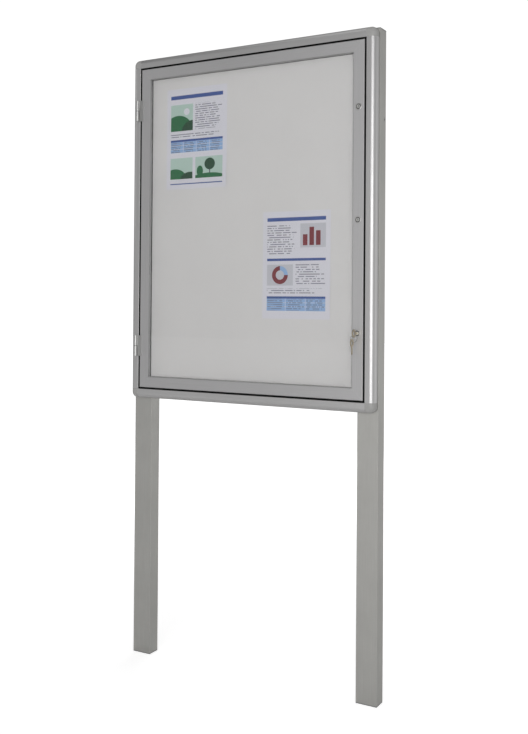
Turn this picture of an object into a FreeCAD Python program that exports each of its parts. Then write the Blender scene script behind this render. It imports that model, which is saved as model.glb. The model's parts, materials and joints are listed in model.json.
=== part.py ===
import FreeCAD, Part
import Sketcher
import math
import os

# Outdoor notice board on two posts: a flat glazed display case with a hinged, lockable
# door, fixed to the front of two square tubes.
# Millimetres. X runs to the right, Y into the board, Z up. The origin is the middle of
# the left post's foot.

os.makedirs("parts", exist_ok=True)
doc = FreeCAD.newDocument("notice_board")
sheet = doc.addObject("Spreadsheet::Sheet", "sizes")


class Size:
    """A number together with the spreadsheet expression that it comes from."""

    def __init__(self, value, text):
        self.value = float(value)
        self.text = text

    def __add__(self, other):
        other = as_size(other)
        return Size(self.value + other.value, "(%s + %s)" % (self.text, other.text))

    def __radd__(self, other):
        return as_size(other) + self

    def __sub__(self, other):
        other = as_size(other)
        return Size(self.value - other.value, "(%s - %s)" % (self.text, other.text))

    def __rsub__(self, other):
        return as_size(other) - self

    def __mul__(self, factor):
        return Size(self.value * factor, "(%s * %s)" % (self.text, factor))

    def __rmul__(self, factor):
        return self * factor

    def __truediv__(self, divisor):
        return Size(self.value / divisor, "(%s / %s)" % (self.text, divisor))

    def __neg__(self):
        return self * -1


def as_size(value):
    """A Size as it is, or a plain number made into one."""
    if isinstance(value, Size):
        return value
    return Size(value, repr(float(value)))


def size(alias, value):
    """Puts one driving dimension into the spreadsheet and returns it."""
    row = size.next_row
    size.next_row += 1
    sheet.set("A%d" % row, alias)
    sheet.set("B%d" % row, str(value))
    sheet.setAlias("B%d" % row, alias)
    return Size(value, "sizes." + alias)


size.next_row = 1
zero = as_size(0)

# Flats round the nose of a corner piece, in its quarter turn
NOSE_FLATS = 5

# Notches cut in the spare key's blade, and in the shorter one that sits in the lock
SPARE_CUTS = 5
LOCK_KEY_CUTS = 2

# Door and the opening that it closes
door_width = size("door_width", 729)
door_height = size("door_height", 953)
door_depth = size("door_depth", 10)
door_gap = size("door_gap", 5)
stile_width = size("stile_width", 32.5)
stile_wall = size("stile_wall", 1.5)
groove_depth = size("groove_depth", 8)
groove_setback = size("groove_setback", 3.5)
glass_thickness = size("glass_thickness", 3)
glass_play = size("glass_play", 1)
gasket_width = size("gasket_width", 1.5)
gasket_depth = size("gasket_depth", 1.8)
door_edge_bevel = size("door_edge_bevel", 1.2)

# Case frame
frame_face = size("frame_face", 27.5)
case_depth = size("case_depth", 26)
frame_wall = size("frame_wall", 2)
nose_radius = size("nose_radius", 14)
rear_bevel = size("rear_bevel", 4.5)
frame_edge_bevel = size("frame_edge_bevel", 0.8)
corner_radius = size("corner_radius", 17)
leg_height = size("leg_height", 770)

# Back panel, seal and notices
panel_setback = size("panel_setback", 15)
panel_thickness = size("panel_thickness", 1.2)
seal_width = size("seal_width", 3)
seal_setback = size("seal_setback", 3)
seal_depth = size("seal_depth", 6)
notice_width = size("notice_width", 210)
notice_height = size("notice_height", 297)
notice_thickness = size("notice_thickness", 0.3)
upper_notice_left = size("upper_notice_left", 89.5)
upper_notice_down = size("upper_notice_down", 73)
lower_notice_right = size("lower_notice_right", 107.5)
lower_notice_up = size("lower_notice_up", 216.5)

# Posts
post_width = size("post_width", 60)
post_depth = size("post_depth", 40)
post_wall = size("post_wall", 2)
post_proud = size("post_proud", 1)
plug_flange = size("plug_flange", 3)
plug_length = size("plug_length", 18)
plug_wall = size("plug_wall", 2.5)

# Hinges
hinge_inset = size("hinge_inset", 124)
hinge_length = size("hinge_length", 61)
knuckle_gap = size("knuckle_gap", 1)
knuckle_radius = size("knuckle_radius", 5)
pin_radius = size("pin_radius", 2.5)
pin_clearance = size("pin_clearance", 0.05)
pin_short = size("pin_short", 3)
axis_outboard = size("axis_outboard", 6.5)
axis_forward = size("axis_forward", 5.5)
leaf_thickness = size("leaf_thickness", 2.5)
leaf_lift = size("leaf_lift", 1)
leaf_on_door = size("leaf_on_door", 8)
leaf_on_frame = size("leaf_on_frame", 6.5)
leaf_knuckle_gap = size("leaf_knuckle_gap", 1)

# Locks
lock_inset = size("lock_inset", 177)
bezel_radius = size("bezel_radius", 9)
bezel_thickness = size("bezel_thickness", 1.6)
housing_radius = size("housing_radius", 7)
housing_overrun = size("housing_overrun", 0.3)
plug_radius = size("plug_radius", 5)
plug_clearance = size("plug_clearance", 0.05)
plug_proud = size("plug_proud", 0.4)
cam_setback = size("cam_setback", 0.8)
cam_thickness = size("cam_thickness", 1.5)
cam_reach = size("cam_reach", 27)
cam_width = size("cam_width", 10)
cam_screw_radius = size("cam_screw_radius", 3)
cam_screw_head = size("cam_screw_head", 1)
slot_clearance = size("slot_clearance", 1.75)
slot_below = size("slot_below", 22)
slot_above = size("slot_above", 8)
keyway_width = size("keyway_width", 1.8)
keyway_height = size("keyway_height", 6.5)
keyway_depth = size("keyway_depth", 8)

# Keys and their ring
bow_radius = size("bow_radius", 11)
bow_hole = size("bow_hole", 5.2)
key_neck = size("key_neck", 9)
blade_length = size("blade_length", 20)
blade_point = size("blade_point", 1.5)
cut_pitch = size("cut_pitch", 3)
cut_depth = size("cut_depth", 1.4)
ring_radius = size("ring_radius", 9.5)
ring_wire = size("ring_wire", 0.7)
ring_play = size("ring_play", 0.6)
spare_angle = size("spare_angle", 35)
spare_seat = size("spare_seat", 0.3)

doc.recompute()

# Places worked out from the sizes above
opening_width = door_width + 2 * door_gap
opening_height = door_height + 2 * door_gap
case_width = opening_width + 2 * frame_face
case_height = opening_height + 2 * frame_face
case_left = post_proud - post_width / 2
case_rear = -post_depth / 2
case_front = case_rear - case_depth
opening_left = case_left + frame_face
opening_right = opening_left + opening_width
opening_bottom = leg_height + frame_face
opening_top = opening_bottom + opening_height
door_left = opening_left + door_gap
door_right = door_left + door_width
door_bottom = opening_bottom + door_gap
door_top = door_bottom + door_height
door_rear = case_front + door_depth
panel_front = case_front + panel_setback
post_spacing = case_width + 2 * post_proud - post_width
post_height = leg_height + case_height
axis_x = opening_left - axis_outboard
axis_y = case_front - axis_forward
lock_x = door_right - stile_width / 2
lock_heights = {
    "lower": door_bottom + lock_inset,
    "middle": door_bottom + door_height / 2,
    "upper": door_top - lock_inset,
}


def bind(item, name, value):
    """Ties one property of an object to a Size."""
    item.setExpression(name, as_size(value).text)


def place(item, position):
    """Sets an object down at a position given as three Sizes, and ties it there."""
    numbers = [as_size(value).value for value in position]
    item.Placement = FreeCAD.Placement(FreeCAD.Vector(*numbers), FreeCAD.Rotation())
    for axis, value in zip("xyz", position):
        bind(item, "Placement.Base." + axis, value)


def new_body(label, position):
    """A PartDesign body with its own label and place."""
    body = doc.addObject("PartDesign::Body", label)
    body.Label = label
    place(body, position)
    return body


def new_sketch(body, plane, name):
    """A sketch on one of the body's own origin planes."""
    sketch = body.newObject("Sketcher::SketchObject", name)
    support = [feature for feature in body.Origin.OriginFeatures if feature.Role == plane][0]
    sketch.AttachmentSupport = [(support, "")]
    sketch.MapMode = "FlatFace"
    return sketch


def fix_coordinate(sketch, kind, geometry, end, value):
    """Ties one coordinate of a line's or an arc's end to a Size."""
    if value.text == zero.text:
        axis = -2 if kind == "DistanceX" else -1
        sketch.addConstraint(Sketcher.Constraint("PointOnObject", geometry, end, axis))
        return
    index = sketch.addConstraint(Sketcher.Constraint(kind, -1, 1, geometry, end, value.value))
    sketch.setExpression("Constraints[%d]" % index, value.text)


def outline(sketch, points, arcs=None):
    """Draws a closed outline through the points; arcs maps a point's number to the centre
    and radius of the arc that leaves it."""
    arcs = arcs or {}
    points = [(as_size(x), as_size(y)) for x, y in points]
    ends = []
    for number, (x, y) in enumerate(points):
        next_x, next_y = points[(number + 1) % len(points)]
        start = FreeCAD.Vector(x.value, y.value, 0)
        stop = FreeCAD.Vector(next_x.value, next_y.value, 0)
        if number not in arcs:
            geometry = sketch.addGeometry(Part.LineSegment(start, stop))
            ends.append((geometry, 1, 2))
            continue
        centre_x, centre_y, radius = [as_size(value) for value in arcs[number]]
        centre = FreeCAD.Vector(centre_x.value, centre_y.value, 0)
        circle = Part.Circle(centre, FreeCAD.Vector(0, 0, 1), radius.value)
        first = math.atan2(start.y - centre.y, start.x - centre.x)
        last = math.atan2(stop.y - centre.y, stop.x - centre.x)
        anticlockwise = math.sin(last - first) > 0
        if anticlockwise:
            arc = Part.ArcOfCircle(circle, first, last)
        else:
            arc = Part.ArcOfCircle(circle, last, first)
        geometry = sketch.addGeometry(arc)
        ends.append((geometry, 1, 2) if anticlockwise else (geometry, 2, 1))
        index = sketch.addConstraint(Sketcher.Constraint("Radius", geometry, radius.value))
        sketch.setExpression("Constraints[%d]" % index, radius.text)
    for number, (geometry, start_end, stop_end) in enumerate(ends):
        next_geometry, next_start, _ = ends[(number + 1) % len(ends)]
        joint = Sketcher.Constraint("Coincident", geometry, stop_end, next_geometry, next_start)
        sketch.addConstraint(joint)
        x, y = points[number]
        fix_coordinate(sketch, "DistanceX", geometry, start_end, x)
        fix_coordinate(sketch, "DistanceY", geometry, start_end, y)


def rectangle(sketch, left, low, right, high):
    """Draws a rectangle between two corners."""
    outline(sketch, [(left, low), (right, low), (right, high), (left, high)])


def circle(sketch, x, y, radius):
    """Draws a circle."""
    x, y, radius = as_size(x), as_size(y), as_size(radius)
    centre = FreeCAD.Vector(x.value, y.value, 0)
    geometry = sketch.addGeometry(Part.Circle(centre, FreeCAD.Vector(0, 0, 1), radius.value))
    index = sketch.addConstraint(Sketcher.Constraint("Radius", geometry, radius.value))
    sketch.setExpression("Constraints[%d]" % index, radius.text)
    if x.text == zero.text and y.text == zero.text:
        sketch.addConstraint(Sketcher.Constraint("Coincident", geometry, 3, -1, 1))
        return
    fix_coordinate(sketch, "DistanceX", geometry, 3, x)
    fix_coordinate(sketch, "DistanceY", geometry, 3, y)


def pad(body, sketch, length, reverse=False):
    """Extrudes a sketch; a sketch on the XZ plane goes into the board with reverse."""
    feature = body.newObject("PartDesign::Pad", sketch.Name + "_pad")
    feature.Profile = sketch
    feature.Reversed = reverse
    bind(feature, "Length", length)
    sketch.Visibility = False
    doc.recompute()
    return feature


def pocket(body, sketch, depth=None, reverse=False):
    """Cuts a sketch out of the body, right through unless a depth is given."""
    volume_before = body.Shape.Volume
    feature = body.newObject("PartDesign::Pocket", sketch.Name + "_pocket")
    feature.Profile = sketch
    feature.Reversed = reverse
    if depth is None:
        feature.Type = "ThroughAll"
    else:
        bind(feature, "Length", depth)
    sketch.Visibility = False
    doc.recompute()
    if not body.Shape.Volume < volume_before - 0.01:
        raise RuntimeError(body.Label + ": the pocket cuts nothing")
    return feature


def turn(body, sketch, angle, reverse=False):
    """Revolves a sketch about its own vertical axis."""
    feature = body.newObject("PartDesign::Revolution", sketch.Name + "_turn")
    feature.Profile = sketch
    feature.ReferenceAxis = (sketch, ["V_Axis"])
    feature.Angle = angle
    feature.Reversed = reverse
    sketch.Visibility = False
    doc.recompute()
    return feature


def box(label, position, lengths):
    """A plain block with its own label and place."""
    item = doc.addObject("Part::Box", label)
    item.Label = label
    for name, value in zip(("Length", "Width", "Height"), lengths):
        bind(item, name, value)
    place(item, position)
    return item


# Posts: square tubes with a moulded plug in each end

def build_post(side, x):
    """One post, standing on its foot plug."""
    body = new_body(side + "_post", (x, zero, plug_flange))
    outer = new_sketch(body, "XY_Plane", side + "_post_outside")
    rectangle(outer, -post_width / 2, -post_depth / 2, post_width / 2, post_depth / 2)
    pad(body, outer, post_height - 2 * plug_flange)
    inner = new_sketch(body, "XY_Plane", side + "_post_inside")
    inner_x = post_width / 2 - post_wall
    inner_y = post_depth / 2 - post_wall
    rectangle(inner, -inner_x, -inner_y, inner_x, inner_y)
    pocket(body, inner, reverse=True)


def build_post_plug(label, x, z, upright):
    """A flanged end plug; upright has its spigot pointing up into a post's foot."""
    body = new_body(label, (x, zero, z))
    flange = new_sketch(body, "XY_Plane", label + "_flange")
    rectangle(flange, -post_width / 2, -post_depth / 2, post_width / 2, post_depth / 2)
    pad(body, flange, plug_flange, reverse=not upright)
    spigot = new_sketch(body, "XY_Plane", label + "_spigot")
    spigot_x = post_width / 2 - post_wall
    spigot_y = post_depth / 2 - post_wall
    rectangle(spigot, -spigot_x, -spigot_y, spigot_x, spigot_y)
    pad(body, spigot, plug_length, reverse=not upright)
    hollow = new_sketch(body, "XY_Plane", label + "_hollow")
    hollow_x = spigot_x - plug_wall
    hollow_y = spigot_y - plug_wall
    rectangle(hollow, -hollow_x, -hollow_y, hollow_x, hollow_y)
    hollow.AttachmentOffset = FreeCAD.Placement(
        FreeCAD.Vector(0, 0, plug_flange.value * (1 if upright else -1)), FreeCAD.Rotation())
    offset = plug_flange if upright else -plug_flange
    bind(hollow, "AttachmentOffset.Base.z", offset)
    pocket(body, hollow, depth=plug_length, reverse=upright)


for side, x in (("left", zero), ("right", post_spacing)):
    build_post(side, x)
    build_post_plug(side + "_foot_plug", x, zero, True)
    build_post_plug(side + "_top_plug", x, post_height, False)


# Case frame: four hollow profiles with a rounded nose, cut square, and four corner pieces

def turned(point, sign, upright):
    """A point of a section, its first coordinate mirrored when sign is -1; an upright
    piece has that coordinate along X, a level one along Z."""
    across = as_size(point[0])
    if sign < 0 and across.text != zero.text:
        across = -across
    return (across, point[1]) if upright else (point[1], across)


def profile_outline(sketch, outward, upright):
    """The profile's section, seen from the opening's edge; outward is 1 or -1 and says
    which way its rounded nose faces."""
    points = [
        (zero, frame_edge_bevel),
        (frame_edge_bevel, zero),
        (frame_face - nose_radius, zero),
        (frame_face, nose_radius),
        (frame_face, case_depth - rear_bevel),
        (frame_face - rear_bevel, case_depth),
        (zero, case_depth),
    ]
    nose_centre = (frame_face - nose_radius, nose_radius)
    outline(sketch, [turned(point, outward, upright) for point in points],
            {2: turned(nose_centre, outward, upright) + (nose_radius,)})


def chamber_outline(sketch, outward, upright):
    """The hollow inside the profile, one wall in from its outline."""
    points = [
        (frame_wall, frame_wall),
        (frame_face - nose_radius, frame_wall),
        (frame_face - frame_wall, nose_radius),
        (frame_face - frame_wall, case_depth - rear_bevel),
        (frame_face - rear_bevel, case_depth - frame_wall),
        (frame_wall, case_depth - frame_wall),
    ]
    nose_centre = (frame_face - nose_radius, nose_radius)
    outline(sketch, [turned(point, outward, upright) for point in points],
            {1: turned(nose_centre, outward, upright) + (nose_radius - frame_wall,)})


def build_profile(side, position, outward, upright, length):
    """One side of the case frame."""
    label = side + "_case_profile"
    plane = "XY_Plane" if upright else "YZ_Plane"
    body = new_body(label, position)
    outside = new_sketch(body, plane, label + "_section")
    profile_outline(outside, outward, upright)
    pad(body, outside, length)
    chamber = new_sketch(body, plane, label + "_chamber")
    chamber_outline(chamber, outward, upright)
    pocket(body, chamber, reverse=True)
    return body


build_profile("left", (opening_left, case_front, opening_bottom), -1, True, opening_height)
right_profile = build_profile(
    "right", (opening_right, case_front, opening_bottom), 1, True, opening_height)
build_profile("bottom", (opening_left, case_front, opening_bottom), -1, False, opening_width)
build_profile("top", (opening_left, case_front, opening_top), 1, False, opening_width)

# Slots in the right profile's inner wall, which the lock cams turn into
for name, height in lock_heights.items():
    slot = new_sketch(right_profile, "YZ_Plane", name + "_cam_slot")
    centre = height - opening_bottom
    cam_front = door_depth + cam_setback
    rectangle(slot, cam_front - slot_clearance, centre - slot_below,
              cam_front + cam_thickness + slot_clearance, centre + slot_above)
    pocket(right_profile, slot, depth=frame_wall, reverse=True)


def corner_outline(sketch, start, outward, upright):
    """The corner piece's section, seen from the given distance outside the opening's
    edge; its nose has flats where the profile's is round."""
    centre = frame_face - nose_radius - start
    nose = []
    for number in range(NOSE_FLATS + 1):
        angle = math.radians(90 * number / NOSE_FLATS)
        nose.append((centre + nose_radius * math.sin(angle),
                     nose_radius - nose_radius * math.cos(angle)))
    points = [(zero, zero)] + nose + [
        (frame_face - start, case_depth - rear_bevel),
        (frame_face - start - rear_bevel, case_depth),
        (zero, case_depth),
    ]
    outline(sketch, [turned(point, outward, upright) for point in points])


def build_case_corner(label, x, z, right, up):
    """A moulded corner piece; right and up are 1 or -1 and point at its outer corner.
    Two straight arms carry the profiles' section on, and a quarter turn joins them."""
    body = new_body(label, (x, case_front, z))
    arm = frame_face - corner_radius
    level_arm = new_sketch(body, "YZ_Plane", label + "_level_arm")
    corner_outline(level_arm, zero, up, False)
    pad(body, level_arm, arm, reverse=right < 0)
    upright_arm = new_sketch(body, "XY_Plane", label + "_upright_arm")
    corner_outline(upright_arm, zero, right, True)
    pad(body, upright_arm, arm, reverse=up < 0)
    bend = new_sketch(body, "XY_Plane", label + "_bend")
    corner_outline(bend, arm, right, True)
    bend.AttachmentOffset = FreeCAD.Placement(
        FreeCAD.Vector(arm.value * right, 0, arm.value * up), FreeCAD.Rotation())
    bind(bend, "AttachmentOffset.Base.x", arm * right)
    bind(bend, "AttachmentOffset.Base.z", arm * up)
    turn(body, bend, 90, reverse=right == up)


for vertical, z, up in (("lower", opening_bottom, -1), ("upper", opening_top, 1)):
    for side, x, right in (("left", opening_left, -1), ("right", opening_right, 1)):
        build_case_corner(vertical + "_" + side + "_case_corner", x, z, right, up)


# Back panel: a steel tray that the notices hang on

panel = new_body("back_panel", (opening_left, panel_front, opening_bottom))
panel_outline = new_sketch(panel, "XZ_Plane", "panel_outline")
rectangle(panel_outline, zero, zero, opening_width, opening_height)
tray_depth = case_depth - panel_setback
pad(panel, panel_outline, tray_depth, reverse=True)
panel_hollow = new_sketch(panel, "XZ_Plane", "panel_hollow")
rectangle(panel_hollow, panel_thickness, panel_thickness,
          opening_width - panel_thickness, opening_height - panel_thickness)
panel_hollow.AttachmentOffset = FreeCAD.Placement(
    FreeCAD.Vector(0, 0, -panel_thickness.value), FreeCAD.Rotation())
bind(panel_hollow, "AttachmentOffset.Base.z", -panel_thickness)
pocket(panel, panel_hollow)

seal = new_body("door_seal", (opening_left, case_front + seal_setback, opening_bottom))
seal_outline = new_sketch(seal, "XZ_Plane", "seal_outline")
rectangle(seal_outline, zero, zero, opening_width, opening_height)
rectangle(seal_outline, seal_width, seal_width,
          opening_width - seal_width, opening_height - seal_width)
pad(seal, seal_outline, seal_depth, reverse=True)

notice_front = panel_front - notice_thickness
notice_lengths = (notice_width, notice_thickness, notice_height)
box("upper_notice_sheet",
    (opening_left + upper_notice_left, notice_front,
     opening_top - upper_notice_down - notice_height), notice_lengths)
box("lower_notice_sheet",
    (opening_right - lower_notice_right - notice_width, notice_front,
     opening_bottom + lower_notice_up), notice_lengths)


# Door: four mitred profiles round a pane

def stile_section(sketch, inward, upright):
    """The door profile's section from its outer edge; inward is 1 or -1 and says which
    way the glazing groove faces."""
    groove_floor = stile_width - groove_depth
    points = [
        (zero, door_edge_bevel),
        (door_edge_bevel, zero),
        (stile_width - gasket_width, zero),
        (stile_width - gasket_width, gasket_depth),
        (stile_width, gasket_depth),
        (stile_width, groove_setback),
        (groove_floor, groove_setback),
        (groove_floor, groove_setback + glass_thickness),
        (stile_width, groove_setback + glass_thickness),
        (stile_width, door_depth),
        (zero, door_depth),
    ]
    chamber_end = groove_floor - stile_wall
    chamber = [
        (stile_wall, stile_wall),
        (chamber_end, stile_wall),
        (chamber_end, door_depth - stile_wall),
        (stile_wall, door_depth - stile_wall),
    ]

    for loop in (points, chamber):
        outline(sketch, [turned(point, inward, upright) for point in loop])


def build_door_profile(label, position, inward, upright, length):
    """One side of the door, mitred at both ends."""
    body = new_body(label, position)
    section = new_sketch(body, "XY_Plane" if upright else "YZ_Plane", label + "_section")
    stile_section(section, inward, upright)
    pad(body, section, length)
    mitre = new_sketch(body, "XZ_Plane", label + "_mitre")
    reach = stile_width * inward
    near = [(zero, zero), (reach, zero), (reach, stile_width)]
    far = [(zero, length), (reach, length), (reach, length - stile_width)]
    for triangle in (near, far):
        outline(mitre, triangle if upright else [(along, across) for across, along in triangle])
    pocket(body, mitre)
    return body


build_door_profile("hinge_stile", (door_left, case_front, door_bottom), 1, True, door_height)
lock_stile = build_door_profile(
    "lock_stile", (door_right, case_front, door_bottom), -1, True, door_height)
build_door_profile("bottom_rail", (door_left, case_front, door_bottom), 1, False, door_width)
build_door_profile("top_rail", (door_left, case_front, door_top), -1, False, door_width)

bores = new_sketch(lock_stile, "XZ_Plane", "lock_bores")
for height in lock_heights.values():
    circle(bores, -stile_width / 2, height - door_bottom, housing_radius)
pocket(lock_stile, bores)

glass_edge = stile_width - groove_depth + glass_play
box("glass_pane", (door_left + glass_edge, case_front + groove_setback, door_bottom + glass_edge),
    (door_width - 2 * glass_edge, glass_thickness, door_height - 2 * glass_edge))

gasket_left = stile_width - gasket_width
gasket_across = door_width - 2 * gasket_left
gasket_height = door_height - 2 * gasket_left
gasket = new_body("pane_gasket", (door_left + gasket_left, case_front, door_bottom + gasket_left))
gasket_outline = new_sketch(gasket, "XZ_Plane", "gasket_outline")
rectangle(gasket_outline, zero, zero, gasket_across, gasket_height)
rectangle(gasket_outline, gasket_width, gasket_width,
          gasket_across - gasket_width, gasket_height - gasket_width)
pad(gasket, gasket_outline, gasket_depth, reverse=True)


# Hinges: two knuckles each, the door's above the frame's, on a fixed pin

def build_hinge(name, height):
    """One lift-off hinge, its middle at the given height."""
    knuckle_length = hinge_length / 2 - knuckle_gap / 2
    low = height - hinge_length / 2
    leaf_front = axis_forward - leaf_lift - leaf_thickness
    fixed = new_body(name + "_hinge_frame_leaf", (axis_x, axis_y, low))
    barrel = new_sketch(fixed, "XY_Plane", name + "_frame_barrel")
    circle(barrel, zero, zero, knuckle_radius)
    pad(fixed, barrel, knuckle_length)
    plate = new_sketch(fixed, "XY_Plane", name + "_frame_plate")
    rectangle(plate, -leaf_on_frame, axis_forward - leaf_thickness, zero, axis_forward)
    pad(fixed, plate, knuckle_length)
    bore = new_sketch(fixed, "XY_Plane", name + "_frame_bore")
    circle(bore, zero, zero, pin_radius)
    pocket(fixed, bore, reverse=True)

    pin = doc.addObject("Part::Cylinder", name + "_hinge_pin")
    pin.Label = name + "_hinge_pin"
    bind(pin, "Radius", pin_radius)
    bind(pin, "Height", hinge_length - 2 * pin_short)
    place(pin, (axis_x, axis_y, low))

    moving = new_body(name + "_hinge_door_leaf", (axis_x, axis_y, low))
    plate = new_sketch(moving, "XY_Plane", name + "_door_plate")
    plate_left = knuckle_radius + leaf_knuckle_gap
    door_edge = axis_outboard + door_gap
    rectangle(plate, plate_left, leaf_front, door_edge + leaf_on_door, leaf_front + leaf_thickness)
    pad(moving, plate, hinge_length)
    foot = new_sketch(moving, "XY_Plane", name + "_door_foot")
    rectangle(foot, door_edge, leaf_front, door_edge + leaf_on_door, axis_forward)
    pad(moving, foot, hinge_length)
    barrel = new_sketch(moving, "XY_Plane", name + "_door_barrel")
    circle(barrel, zero, zero, knuckle_radius)
    raised = FreeCAD.Placement(
        FreeCAD.Vector(0, 0, (knuckle_length + knuckle_gap).value), FreeCAD.Rotation())
    barrel.AttachmentOffset = raised
    bind(barrel, "AttachmentOffset.Base.z", knuckle_length + knuckle_gap)
    web = new_sketch(moving, "XY_Plane", name + "_door_web")
    rectangle(web, zero, leaf_front, plate_left, leaf_front + leaf_thickness)
    web.AttachmentOffset = raised
    bind(web, "AttachmentOffset.Base.z", knuckle_length + knuckle_gap)
    pad(moving, web, knuckle_length)
    pad(moving, barrel, knuckle_length)
    bore = new_sketch(moving, "XY_Plane", name + "_door_bore")
    circle(bore, zero, zero, pin_radius + pin_clearance)
    pocket(moving, bore, depth=hinge_length - pin_short, reverse=True)


build_hinge("lower", door_bottom + hinge_inset)
build_hinge("upper", door_top - hinge_inset)


# Locks: a fixed housing, a turning plug and its cam, which hangs down when unlocked

def build_lock(name, height):
    """One cam lock in the lock stile."""
    housing = new_body(name + "_lock_housing", (lock_x, case_front, height))
    bezel = new_sketch(housing, "XZ_Plane", name + "_bezel")
    circle(bezel, zero, zero, bezel_radius)
    pad(housing, bezel, bezel_thickness)
    barrel = new_sketch(housing, "XZ_Plane", name + "_barrel")
    circle(barrel, zero, zero, housing_radius)
    pad(housing, barrel, door_depth + housing_overrun, reverse=True)
    for reverse in (False, True):
        bore = new_sketch(housing, "XZ_Plane", name + ("_bore_front" if reverse else "_bore_rear"))
        circle(bore, zero, zero, plug_radius + plug_clearance)
        pocket(housing, bore, reverse=reverse)

    plug = new_body(name + "_lock_plug", (lock_x, case_front, height))
    front = new_sketch(plug, "XZ_Plane", name + "_plug_front")
    circle(front, zero, zero, plug_radius)
    pad(plug, front, bezel_thickness + plug_proud)
    rear = new_sketch(plug, "XZ_Plane", name + "_plug_rear")
    circle(rear, zero, zero, plug_radius)
    pad(plug, rear, door_depth + cam_setback, reverse=True)
    tail = new_sketch(plug, "XZ_Plane", name + "_plug_tail")
    circle(tail, zero, zero, cam_screw_radius)
    pad(plug, tail, door_depth + cam_setback + cam_thickness + cam_screw_head, reverse=True)
    keyway = new_sketch(plug, "XZ_Plane", name + "_keyway")
    rectangle(keyway, -keyway_width / 2, -keyway_height / 2, keyway_width / 2, keyway_height / 2)
    plug_front = bezel_thickness + plug_proud
    keyway.AttachmentOffset = FreeCAD.Placement(
        FreeCAD.Vector(0, 0, plug_front.value), FreeCAD.Rotation())
    bind(keyway, "AttachmentOffset.Base.z", plug_front)
    pocket(plug, keyway, depth=keyway_depth)

    cam = new_body(name + "_lock_cam", (lock_x, door_rear + cam_setback, height))
    plate = new_sketch(cam, "XZ_Plane", name + "_cam_plate")
    half = cam_width / 2
    points = [(-half, -cam_reach), (half, -cam_reach), (half, zero), (zero, half), (-half, zero)]
    outline(plate, points, {2: (zero, zero, half), 3: (zero, zero, half)})
    pad(cam, plate, cam_thickness, reverse=True)
    hole = new_sketch(cam, "XZ_Plane", name + "_cam_hole")
    circle(hole, zero, zero, cam_screw_radius)
    pocket(cam, hole)


for name, height in lock_heights.items():
    build_lock(name, height)


# Keys: the one in the lower lock carries a ring with the spare

def blade_outline(root, tip, cuts):
    """A blade's points, along it from the bow's centre and across it, with notches cut in
    one edge behind its pointed tip."""
    half = keyway_height / 2
    points = [(tip - blade_point, half), (root, half), (root, -half)]
    for number in range(cuts):
        start = tip - blade_point - cut_pitch * (cuts - number)
        points += [
            (start, -half),
            (start + cut_pitch / 4, -half + cut_depth),
            (start + cut_pitch / 2, -half + cut_depth),
            (start + 3 * cut_pitch / 4, -half),
        ]
    return points + [(tip - blade_point, -half), (tip, -half / 3), (tip, half / 3)]


def build_key(label, position, bow_y, bow_z, upright):
    """A flat key; its bow's centre is at bow_y, bow_z from the position, and its blade
    points along Y, or down Z when upright."""
    body = new_body(label, position)
    bow = new_sketch(body, "YZ_Plane", label + "_bow")
    circle(bow, bow_y, bow_z, bow_radius)
    circle(bow, bow_y, bow_z, bow_hole)
    bow_pad = pad(body, bow, keyway_width)
    bow_pad.Midplane = True
    blade = new_sketch(body, "YZ_Plane", label + "_blade")
    root = bow_hole + (bow_radius - bow_hole) / 2
    if upright:
        points = blade_outline(root, bow_radius + blade_length, SPARE_CUTS)
        outline(blade, [(bow_y + across, bow_z - along) for along, across in points])
    else:
        tip = keyway_depth - bezel_thickness - plug_proud - bow_y
        points = blade_outline(root, tip, LOCK_KEY_CUTS)
        outline(blade, [(bow_y + along, bow_z + across) for along, across in points])
    blade_pad = pad(body, blade, keyway_width)
    blade_pad.Midplane = True
    doc.recompute()
    return body


lower_lock = (lock_x, case_front, lock_heights["lower"])
bow_y = -(bezel_thickness + plug_proud + key_neck + bow_radius)
build_key("key", lower_lock, bow_y, zero, False)

ring_drop = bow_hole - ring_wire - ring_play + ring_radius
ring_y = case_front + bow_y
ring_z = lock_heights["lower"] - ring_drop
ring = new_body("key_ring", (lock_x, ring_y, ring_z))
wire = new_sketch(ring, "XY_Plane", "ring_wire_section")
rectangle(wire, ring_radius - ring_wire, -ring_wire, ring_radius + ring_wire, ring_wire)
turn(ring, wire, 360)

spare_across = Size(ring_radius.value * math.sin(math.radians(spare_angle.value)),
                    "(%s * sin(%s * 1 deg))" % (ring_radius.text, spare_angle.text))
spare_down = Size(ring_radius.value * math.cos(math.radians(spare_angle.value)),
                  "(%s * cos(%s * 1 deg))" % (ring_radius.text, spare_angle.text))
spare_x = lock_x - spare_across
spare_z = ring_z - spare_down - bow_hole + 2 * ring_wire + spare_seat
build_key("spare_key", (spare_x, ring_y, spare_z), zero, zero, True)

doc.recompute()

# Every sub-part goes to its own file
subparts = [item for item in doc.Objects
            if item.TypeId in ("PartDesign::Body", "Part::Box", "Part::Cylinder")]
for item in doc.Objects:
    if "Invalid" in item.State or "Error" in item.State:
        raise RuntimeError(item.Label + ": " + ", ".join(item.State))
for item in subparts:
    if item.Shape.isNull() or not item.Shape.isValid():
        raise RuntimeError(item.Label + ": its shape is not valid")
    item.Shape.exportStep("parts/" + item.Label + ".step")
print(len(subparts), "sub-parts written")
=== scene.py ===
import json
import math

import bmesh
import bpy
from mathutils import Matrix, Vector, noise


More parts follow.
